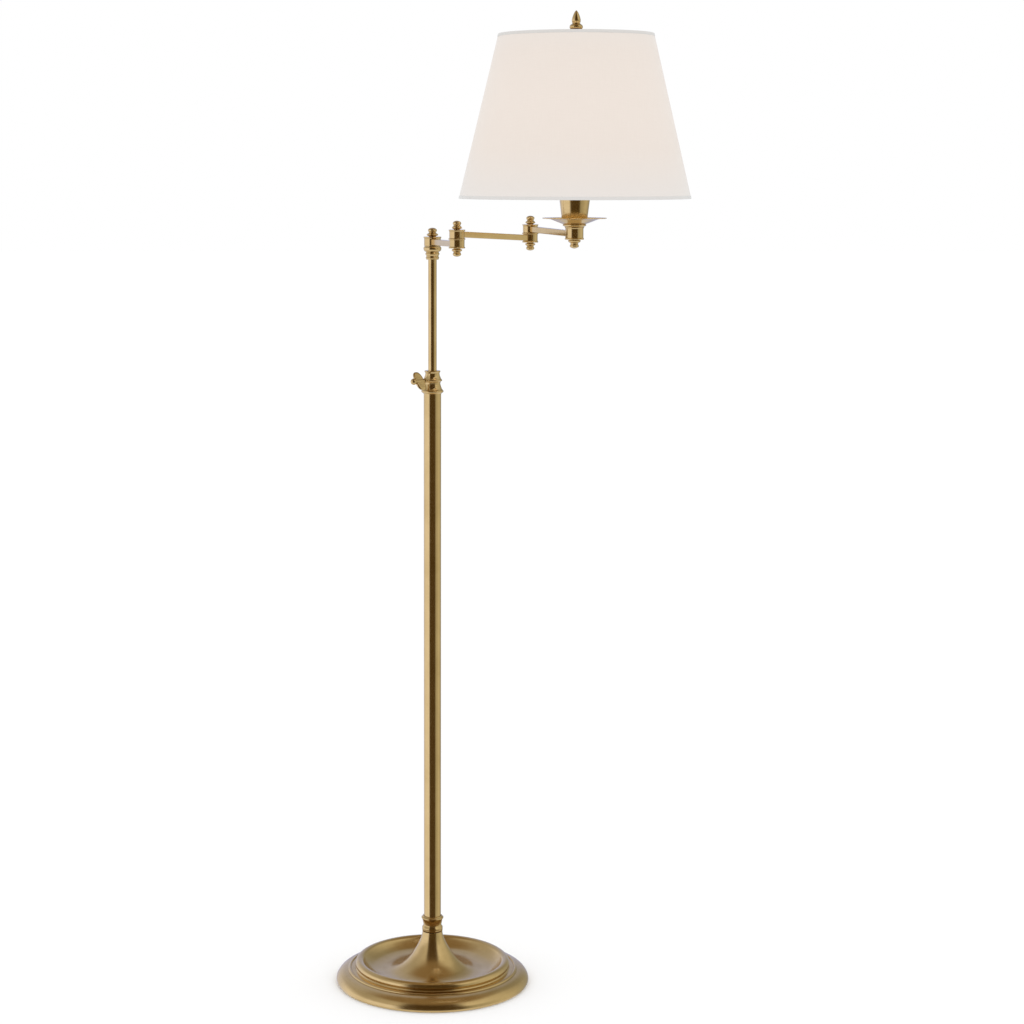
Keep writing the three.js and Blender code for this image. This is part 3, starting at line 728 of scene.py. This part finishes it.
def knob(z, bead_r, neck, button, height):
    """A turned knob over the end of a pivot pin: a bead, a neck and a domed button."""
    bore = PIN_R + 0.3
    dome = [(button * r, z + (0.7 + 0.3 * up) * height) for r, up in arc(0, 0, 1, -25, 86, 20)]
    bead = arc(bead_r - 1.2, z + 0.2 * height, 1.2, -60, 50)
    flare = smooth([
        (bead_r - 0.4, z + 0.29 * height), (neck + 0.4, z + 0.4 * height), (neck, z + 0.47 * height),
    ], 8)
    hole_top = z + 0.32 * height
    return [
        (0, hole_top), (bore, hole_top), (bore, z), (0.64 * bead_r, z), (0.67 * bead_r, z + 0.7),
        *bead, *flare, *dome, (0, z + height),
    ]


def flanged_knuckle(z):
    top = z + KNUCKLE_H - 1
    return [
        (PIN_HOLE_R, z), (FLANGE_R - 0.2, z), (FLANGE_R, z + 0.6), (FLANGE_R - 0.1, z + 1.2),
        (KNUCKLE_R, z + 2.2), (KNUCKLE_R, top - 0.2), (KNUCKLE_R - 0.2, top), (PIN_HOLE_R, top),
    ]


def bar(index, inner_radius, outer_radius, axis):
    """A square tube with softly rounded corners, from knuckle to knuckle."""
    start_z, end_z = BAR_Z[index]
    drop = math.atan2(start_z - end_z, ARM_LENGTH)
    start = inner_radius - BAR_IN_KNUCKLE
    end = ARM_LENGTH / math.cos(drop) - outer_radius + BAR_IN_KNUCKLE
    corner_r, beside, steps = 0.75, 0.5, 5
    inner = BAR / 2 - corner_r
    section, wears = [], []
    for start_angle, (side_x, side_y) in zip((0, 90, 180, 270), ((1, 1), (-1, 1), (-1, -1), (1, -1))):
        centre = Vector((side_x * inner, side_y * inner))
        corner = [centre + along(start_angle + 90 * k / steps, corner_r) for k in range(steps + 1)]
        section.append(corner[0] - along(start_angle + 90, beside))
        section += corner
        section.append(corner[-1] + along(start_angle + 180, beside))
        wears += [0.0, *[0.75] * len(corner), 0.0]
    count = len(section)
    bore = [(x * BAR_BORE / BAR, y * BAR_BORE / BAR) for x, y in section]
    vertices = [(y, z, x) for x in (start, end) for y, z in section]
    vertices += [(y, z, x) for x in (start, end) for y, z in bore]
    faces = []
    for i in range(count):
        j = (i + 1) % count
        faces.append((i, j, count + j, count + i))
        faces.append((2 * count + j, 2 * count + i, 3 * count + i, 3 * count + j))
        faces.append((j, i, 2 * count + i, 2 * count + j))
        faces.append((count + i, count + j, 3 * count + j, 3 * count + i))
    node = f"arm_{index + 1}_bar"
    piece = mesh_piece(f"{node}_fine", vertices, faces, wears * 2 + [0.0] * (2 * count))
    piece.data.materials.append(BRASS_DRAWN)
    lay = Matrix.Translation(Vector((axis.x, axis.y, start_z)) * MM)
    lay = lay @ turn(ARM_YAW[index], "Z") @ turn(90 + math.degrees(drop), "Y")
    piece.matrix_world = lay
    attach(piece, BODY_OF[node])
    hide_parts(node)


shoulder_top = SHOULDER_Z + 12.6
turned_piece("arm_1_inner_knuckle", [
    (PIN_HOLE_R, SHOULDER_Z), (SHOULDER_R - 0.2, SHOULDER_Z), (SHOULDER_R, SHOULDER_Z + 0.3),
    (SHOULDER_R, shoulder_top - 2.4), (12.3, shoulder_top - 1.7), (12.5, shoulder_top - 0.9),
    (12.3, shoulder_top), (PIN_HOLE_R, shoulder_top),
])
turned_piece("shoulder_knob", knob(1076.8, 8.0, 5.0, 6.3, 12.2))

for number, elbow_axis, elbow_z in ((1, ELBOW_1, ELBOW_Z[0]), (2, ELBOW_2, ELBOW_Z[1])):
    lower = flanged_knuckle(elbow_z - KNUCKLE_H)
    top_z = elbow_z + KNUCKLE_H + 0.2
    turned_piece(f"arm_{number}_outer_knuckle", lower, axis=elbow_axis)
    turned_piece(f"arm_{number + 1}_inner_knuckle", mirrored(lower, elbow_z), axis=elbow_axis)
    turned_piece(f"elbow_{number}_ring", [
        (PIN_HOLE_R, elbow_z - 0.9), (11, elbow_z - 0.9), (11.4, elbow_z - 0.4), (11.4, elbow_z + 0.4),
        (11, elbow_z + 0.9), (PIN_HOLE_R, elbow_z + 0.9),
    ], axis=elbow_axis, ease=0.15)
    hanging = mirrored(knob(top_z, 7, 4.6, 5.7, 10.9), elbow_z)
    turned_piece(f"elbow_{number}_top_knob", knob(top_z, 6.8, 4.5, 5.7, 11.7), axis=elbow_axis)
    turned_piece(f"elbow_{number}_bottom_knob", hanging, axis=elbow_axis)

bar(0, SHOULDER_R, KNUCKLE_R, SHOULDER)
bar(1, KNUCKLE_R, KNUCKLE_R, ELBOW_1)
bar(2, KNUCKLE_R, LAMP_KNUCKLE_R, ELBOW_2)

# ---------------------------------------------------------------- lamp holder

low = LAMP_KNUCKLE_Z
turned_piece("head_knuckle", [
    (5.4, low), (12.2, low), (12.7, low + 0.7), (12.6, low + 1.4), (LAMP_KNUCKLE_R, low + 2.3),
    (LAMP_KNUCKLE_R, 1092.2), (12.6, 1093.1), (12.8, 1094), (12.5, 1094.6), (5.4, 1094.6),
], axis=LAMP)
turned_piece("head_bottom_knob", [
    (0, 1066), (2.2, 1066.5), *arc(3.6, 1069.6, 2.4, -50, 55, 16), (5.2, 1072.6), (5.4, 1073.4),
    (7.7, 1074.7), (8.4, 1076.2), (8.1, 1077.2), (6.4, 1077.6), (3.3, 1077.6), (3.3, 1086), (0, 1086),
], axis=LAMP)
turned_piece("cup_seat", [
    (5.4, 1094.8), (13.1, 1094.8), (15.4, 1096.3), (15.6, 1097.3), (14.9, 1098.1), (5.4, 1098.1),
], axis=LAMP)
underside = smooth([
    (15.2, PLATE_Z), (20, 1100), (26, 1102.4), (31, 1104.3), (35.5, 1105.1), (PLATE_R - 0.5, 1105.4),
], 30)
turned_piece("drip_plate", [
    (5.4, PLATE_Z), *underside, (PLATE_R, 1106), *inset(underside, 1.1)[::-1], (5.4, PLATE_Z + 1.1),
], axis=LAMP, sides=144, ease=0.3)
turned_piece("socket_cup", [
    (5.4, CUP_Z[0]), (CUP_R[0] - 0.8, CUP_Z[0]), (CUP_R[0], CUP_Z[0] + 0.7), (CUP_R[1], CUP_Z[1]),
    (CUP_R[1] - 0.95, CUP_Z[1]), (CUP_R[0] - 0.95, CUP_Z[0] + 1.2), (5.4, CUP_Z[0] + 1.2),
], axis=LAMP)
turned_piece("socket_shell", [
    (SOCKET_R - 0.7, 1118.3), (SOCKET_R, 1118.3), (SOCKET_R, 1144), (SOCKET_R - 0.5, 1144.6),
    (SOCKET_R - 0.5, 1146.2), (SOCKET_R, 1146.8), (SOCKET_R, 1160), (SOCKET_R - 0.5, 1160.6),
    (SOCKET_R - 0.5, 1162.2), (SOCKET_R, 1162.8), (SOCKET_R, 1179), (SOCKET_R - 0.7, 1179),
], axis=LAMP)

dimmer = turned("dimmer_knob_fine", [
    (0, 7), (1.8, 7), (1.8, 20.6), (3.6, 20.8), (4.8, 22.2), *[(4.8, 22.6 + 0.6 * i) for i in range(15)],
    (4.8, 31.4), (4.2, 32.4), (0, 32.8),
], 144, flutes=(18, 0.45, 22.5, 31.1))
placed(dimmer, shift(0, 0, DIMMER_Z) @ turn(-90, "X"))
stand(dimmer, LAMP, "dimmer_knob", PHENOLIC)

globe_neck = smooth([(13.2, 1182.6), (14.2, 1187), (18.6, 1198), (25.2, 1210.5)], 16)
globe = arc(0, BULB_Z, BULB_R, -24, 90, 32)
globe[-1] = (0, BULB_Z + BULB_R)
hollow = [(r - 1, z) for r, z in globe_neck] + arc(0, BULB_Z, BULB_R - 1, -24, 90, 32)
hollow[-1] = (0, BULB_Z + BULB_R - 1)
turned_piece("bulb_glass", hollow[::-1] + globe_neck + globe, GLASS, LAMP, sides=64, ease=0.0)

# ---------------------------------------------------------------- harp and shade


def harp():
    legs = (
        (HARP_LEG_X, 1152.8), (29.6, 1166), (42, 1188), (54, 1217), (56, 1248), (50, 1284), (34, 1318),
        (16, 1337.6),
    )
    right = [Vector((x, 0, z)) for x, z in legs]
    left = [Vector((-x, 0, z)) for x, z in reversed(legs)]
    loop = swept("harp_fine", catmull([*right, Vector((0, 0, 1343.6)), *left], 10), 1.6)
    stud = turned("harp_stud", [
        (0, 1341.4), (6, 1341.4), (6, 1346.8), (3.2, 1346.8), (3.2, 1353.2), (0, 1353.2),
    ], 48)
    return united(loop, stud)


def saddle():
    top = SADDLE_Z + 2
    whole = turned("harp_saddle_fine", pipe(20, SOCKET_R + 0.3, SADDLE_Z, top), 64)
    parts = []
    for side in (-1, 1):
        ear = sorted((side * 18.5, side * 31))
        post = sorted((side * (HARP_LEG_X - 0.8), side * (HARP_LEG_X + 0.8)))
        parts.append(bevelled_block("ear", ear, (-5, 5), (SADDLE_Z, top), 0.5))
        parts.append(bevelled_block("post", post, (-3.4, 3.4), (top - 1, top + 7), 0.35))
    return united(whole, *parts)


def shade_radius(z):
    return SHADE_R[0] + (SHADE_R[1] - SHADE_R[0]) * (z - SHADE_Z[0]) / (SHADE_Z[1] - SHADE_Z[0])


def wire_ring(name, z):
    radius = shade_radius(z) - 1 - RING_WIRE_R - 0.7
    line = [Vector((*along(i * 360 / 192, radius), z)) for i in range(192)]
    return radius, swept(name, line, RING_WIRE_R, 16, closed=True)


def spider(ring_radius):
    """The hub and three spokes that hang the top ring on the harp's stud."""
    reach = ring_radius - RING_WIRE_R - 0.3
    hub = turned("shade_spider_fine", pipe(12, 3.6, HUB_Z, HUB_Z + 1.5), 64)
    spokes = []
    for yaw in (90, 210, 330):
        line = [Vector((*along(yaw, 10), HUB_Z + 0.7)), Vector((*along(yaw, reach), TOP_RING_Z))]
        spokes.append(swept("spoke", line, 1.2, 16))
    return united(hub, *spokes)


stand(harp(), LAMP, "harp", BRASS_CAST)
stand(saddle(), LAMP, "harp_saddle", STEEL)
for node, side in (("harp_sleeve_left", -1), ("harp_sleeve_right", 1)):
    sleeve = turned(f"{node}_fine", pipe(5, 4.2, SADDLE_Z + 2.4, 1160), 48)
    placed(sleeve, shift(side * HARP_LEG_X, 0, 0))
    stand(sleeve, LAMP, node, BRASS_TURNED)
top_ring_radius, top_ring = wire_ring("shade_top_ring_fine", TOP_RING_Z)
stand(top_ring, LAMP, "shade_top_ring", BRASS_CAST)
stand(spider(top_ring_radius), LAMP, "shade_spider", BRASS_CAST)
stand(wire_ring("shade_hoop_fine", SHADE_Z[0] + 2.8)[1], LAMP, "shade_hoop", STEEL)
turned_piece("finial", [
    (0, 1353.7), (3.5, 1353.7), (3.5, FINIAL_Z), (5.6, FINIAL_Z), *arc(5, 1352.8, 3.7, -62, 62, 20),
    (5.2, 1357.2),
    *smooth([
        (5.1, 1357.9), (5.6, 1359.4), (5.8, 1361.4), (5.2, 1364.6), (3.9, 1368.4), (2.1, 1372), (0, 1374.3),
    ], 30),
], axis=LAMP)

# The cone's side, unrolled: the slant height, and the distance from the cone's tip to the lower edge.
SLANT = math.hypot(SHADE_Z[1] - SHADE_Z[0], SHADE_R[0] - SHADE_R[1])
TIP_TO_EDGE = SHADE_R[0] * SLANT / (SHADE_R[0] - SHADE_R[1])
UNROLLED = 2 * math.pi * (SHADE_R[0] - SHADE_R[1]) / SLANT
SEAM_YAW = 90.0
SEAM_LAP = 12.0
SEAM_RISE = 0.3
# The cloth's slight waves round the cone: how many, where they start (radians), and their share of the wave.
RIPPLES = ((7, 0.6, 1.0), (17, 2.1, 0.6), (41, 0.0, 0.5))


def cone_point(azimuth, slant, lift):
    """A point on the shade: slant is the distance up the side in mm, and lift the height above it."""
    r = SHADE_R[0] + (SHADE_R[1] - SHADE_R[0]) * slant / SLANT
    z = SHADE_Z[0] + (SHADE_Z[1] - SHADE_Z[0]) * slant / SLANT
    lean = math.atan2(SHADE_R[0] - SHADE_R[1], SHADE_Z[1] - SHADE_Z[0])
    r += lift * math.cos(lean)
    z += lift * math.sin(lean)
    return Vector((r * math.cos(azimuth), r * math.sin(azimuth), z))


def flat_point(middle, aside, slant):
    """Where a corner of a face lies in the unrolled cloth: middle and aside are shares of a full turn."""
    from_seam = (middle - SEAM_YAW / 360) % 1.0 + aside
    angle = (from_seam - 0.5) * UNROLLED
    reach = (TIP_TO_EDGE - slant) * MM
    return (reach * math.sin(angle), -reach * math.cos(angle))


def wrapped(name, profile, look, columns=288, wave=0.0):
    """A closed profile of (slant, lift) points carried round the cone, with its flat pattern as UVs."""
    count = len(profile)
    vertices = []
    for c in range(columns):
        azimuth = 2 * math.pi * c / columns
        ripple = wave * sum(share * math.sin(azimuth * times + start) for times, start, share in RIPPLES)
        off_seam = abs(((math.degrees(azimuth) - SEAM_YAW + 180) % 360) - 180) / 360 * UNROLLED
        for slant, lift in profile:
            seam = SEAM_RISE * max(0.0, 1 - (off_seam * (TIP_TO_EDGE - slant) / SEAM_LAP) ** 6)
            vertices.append(cone_point(azimuth, slant, lift + (ripple + seam if lift > -0.4 else 0.0)))
    faces = []
    for c in range(columns):
        d = (c + 1) % columns
        for i in range(count):
            j = (i + 1) % count
            faces.append((c * count + i, d * count + i, d * count + j, c * count + j))
    piece = mesh_piece(name, vertices, faces)
    layer = piece.data.uv_layers.new(name="flat_pattern")
    for face in piece.data.polygons:
        first = min(face.vertices) // count
        is_closing = max(face.vertices) // count - first > 1
        start = columns - 1 if is_closing else first
        for i in face.loop_indices:
            column, row = divmod(piece.data.loops[i].vertex_index, count)
            ahead = (column - start) % columns
            layer.data[i].uv = flat_point((start + 0.5) / columns, (ahead - 0.5) / columns, profile[row][0])
    piece.location = (LAMP.x * MM, LAMP.y * MM, 0.0)
    piece.data.materials.append(look)
    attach(piece, BODY_OF["shade"])
    return piece


def layer_profile(low, high, outer, inner, rows=24):
    up = [(low + (high - low) * i / rows, outer) for i in range(rows + 1)]
    return up + [(slant, inner) for slant, _ in reversed(up)]


def hem_profile(edge, direction):
    """A tape folded over the shade's edge: up the outside, round the edge, and back up the inside."""
    width, thick, fold, row = 4.2, 0.35, 0.85, 0.9
    outside, inside_face = 0.4, -1.25
    middle, half = (outside + inside_face) / 2, (outside - inside_face) / 2
    outer = [(width, outside - 0.3), (width - 0.5, outside)]
    outer += [(width - 0.5 - i * row, outside) for i in range(1, 4)]
    outer += [(fold + fold * x, middle + half * y) for x, y in arc(0, 0, 1, 90, 270, 8)]
    outer += [(row + i * row, inside_face) for i in range(1, 4)]
    inner = [(width, inside_face + thick), (1.2, inside_face + thick)]
    inner += [(1.2, outside - thick), (width, outside - thick)]
    return [(edge + direction * slant, lift) for slant, lift in outer + inner]


cloth = wrapped("shade_linen", layer_profile(0.6, SLANT - 0.6, 0.0, -0.45, 30), LINEN, wave=0.05)
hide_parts("shade")
liner = wrapped("shade_liner", layer_profile(0.6, SLANT - 0.6, -0.5, -0.95), LINER)
hem_low = wrapped("shade_hem_lower", hem_profile(0.0, 1), LINEN_TAPE, wave=0.03)
hem_high = wrapped("shade_hem_upper", hem_profile(SLANT, -1), LINEN_TAPE, wave=0.03)

# ---------------------------------------------------------------- pieces whose CAD shape stays

KEPT = {
    BRASS_TURNED: ("tube_plug", "shoulder_washer", "socket_cap"),
    STEEL: (
        "base_washer", "base_nut", "base_nipple", "shoulder_pin", "elbow_1_pin", "elbow_2_pin", "head_nipple",
        "screw_shell", "bulb_cap",
    ),
    IRON: ("base_weight",),
    NYLON: ("stop_bushing",),
    PHENOLIC: ("socket_core",),
}
for look, names in KEPT.items():
    for name in names:
        frame["nodes"][name].data.materials.clear()
        frame["nodes"][name].data.materials.append(look)

# ---------------------------------------------------------------- stage, light and camera


def floor():
    mesh = bpy.data.meshes.new("floor")
    size = 30.0
    corners = [(-size, -size, 0), (size, -size, 0), (size, size, 0), (-size, size, 0)]
    mesh.from_pydata(corners, [], [(0, 1, 2, 3)])
    plane = bpy.data.objects.new("floor", mesh)
    plane.visible_glossy = False
    bpy.context.scene.collection.objects.link(plane)
    look = Look("pale_floor")
    place = look.add("ShaderNodeTexCoord", output=3)
    tint = look.blend(look.noise(place, 3.0, 3.0), rgb(0.93, 0.93, 0.93), rgb(0.95, 0.95, 0.95))
    shader = look.principled(Base_Color=tint, Roughness=0.9, Specular_IOR_Level=0.0)
    mesh.materials.append(look.surface(shader))


def studio():
    """White surroundings. Polished metal sees coloured walls instead, low and high, with a dark bay in front.

    The walls' stops are (yaw in degrees from the front, colour).
    """
    world = bpy.data.worlds.new("studio")
    bpy.context.scene.world = world
    world.use_nodes = True
    world.cycles.sampling_method = "NONE"
    tree = world.node_tree
    tree.nodes.clear()

    def add(kind, inputs=None, output=0, **settings):
        node = tree.nodes.new(kind)
        for key, value in settings.items():
            setattr(node, key, value)
        for key, value in (inputs or {}).items():
            if isinstance(value, bpy.types.NodeSocket):
                tree.links.new(value, node.inputs[key])
            else:
                node.inputs[key].default_value = value
        return node.outputs[output]

    way = add("ShaderNodeTexCoord")
    split = tree.nodes.new("ShaderNodeSeparateXYZ")
    tree.links.new(way, split.inputs[0])
    x, y, z = split.outputs
    front = add("ShaderNodeMath", {0: y, 1: -1.0}, operation="MULTIPLY")
    yaw = add("ShaderNodeMath", {0: x, 1: front}, operation="ARCTAN2")
    round_share = add("ShaderNodeMapRange", {"Value": yaw, "From Min": -math.pi, "From Max": math.pi})

    def wall_colours(stops):
        ramp = tree.nodes.new("ShaderNodeValToRGB")
        tree.links.new(round_share, ramp.inputs[0])
        ramp.color_ramp.interpolation = "EASE"
        while len(ramp.color_ramp.elements) < len(stops):
            ramp.color_ramp.elements.new(0.5)
        for element, (degrees, colour) in zip(ramp.color_ramp.elements, stops):
            element.position = (degrees + 180) / 360
            element.color = (*colour, 1.0)
        return ramp.outputs[0]

    def blend(share, first, second):
        mix = tree.nodes.new("ShaderNodeMix")
        mix.data_type = "RGBA"
        tree.links.new(share, mix.inputs[0])
        for slot, colour in ((mix.inputs[6], first), (mix.inputs[7], second)):
            if isinstance(colour, bpy.types.NodeSocket):
                tree.links.new(colour, slot)
            else:
                slot.default_value = (*colour, 1.0)
        return mix.outputs[2]

    def rising(low, high):
        ends = {"Value": z, "From Min": low, "From Max": high}
        return add("ShaderNodeMapRange", ends, interpolation_type="SMOOTHSTEP")

    low_walls = wall_colours((
        (-180, (0.54, 0.60, 0.92)), (-150, (0.76, 0.78, 0.92)), (-110, (1.0, 1.0, 1.08)),
        (-46, (1.06, 1.06, 1.15)), (-34, (0.10, 0.065, 0.025)), (33, (0.10, 0.065, 0.025)),
        (50, (0.53, 0.52, 0.44)), (96, (0.72, 0.70, 0.60)), (150, (0.40, 0.40, 0.34)),
        (180, (0.54, 0.60, 0.92)),
    ))
    high_walls = wall_colours((
        (-180, (0.50, 0.53, 0.70)), (-150, (0.52, 0.52, 0.56)), (-110, (0.50, 0.48, 0.45)),
        (-46, (0.64, 0.61, 0.55)), (-34, (0.08, 0.05, 0.02)), (33, (0.08, 0.05, 0.02)),
        (46, (0.86, 0.83, 0.74)), (96, (0.68, 0.66, 0.57)), (150, (0.34, 0.33, 0.28)),
        (180, (0.50, 0.53, 0.70)),
    ))
    around = blend(rising(0.15, 0.5), low_walls, high_walls)
    around = blend(rising(0.68, 0.92), around, (0.30, 0.22, 0.13))
    around = blend(rising(-0.4, -0.62), around, (0.8, 0.79, 0.78))
    path = tree.nodes.new("ShaderNodeLightPath")
    glossy = add("ShaderNodeBackground", {"Color": around, "Strength": 1.0})
    soft = add("ShaderNodeBackground", {"Color": (1.0, 1.0, 1.0, 1.0), "Strength": 1.1})
    seen = add("ShaderNodeBackground", {"Color": (1.0, 1.0, 1.0, 1.0), "Strength": 1.0})
    light = add("ShaderNodeMixShader", {0: path.outputs["Is Glossy Ray"], 1: soft, 2: glossy})
    whole = add("ShaderNodeMixShader", {0: path.outputs["Is Camera Ray"], 1: light, 2: seen})
    out = tree.nodes.new("ShaderNodeOutputWorld")
    tree.links.new(whole, out.inputs["Surface"])


CAMERA_AWAY = 3.3077
CAMERA_HEIGHT = 1.1716
CAMERA_PITCH = 8.3


def camera():
    data = bpy.data.cameras.new("camera")
    data.sensor_width = 36.0
    data.lens = 82.96
    data.shift_x = 0.0777
    view = bpy.data.objects.new("camera", data)
    view.location = (0.0, -CAMERA_AWAY, CAMERA_HEIGHT)
    view.rotation_euler = (math.radians(90.0 - CAMERA_PITCH), 0.0, 0.0)
    bpy.context.scene.collection.objects.link(view)
    bpy.context.scene.camera = view


floor()
studio()
camera()
bpy.context.scene.view_settings.view_transform = "Standard"
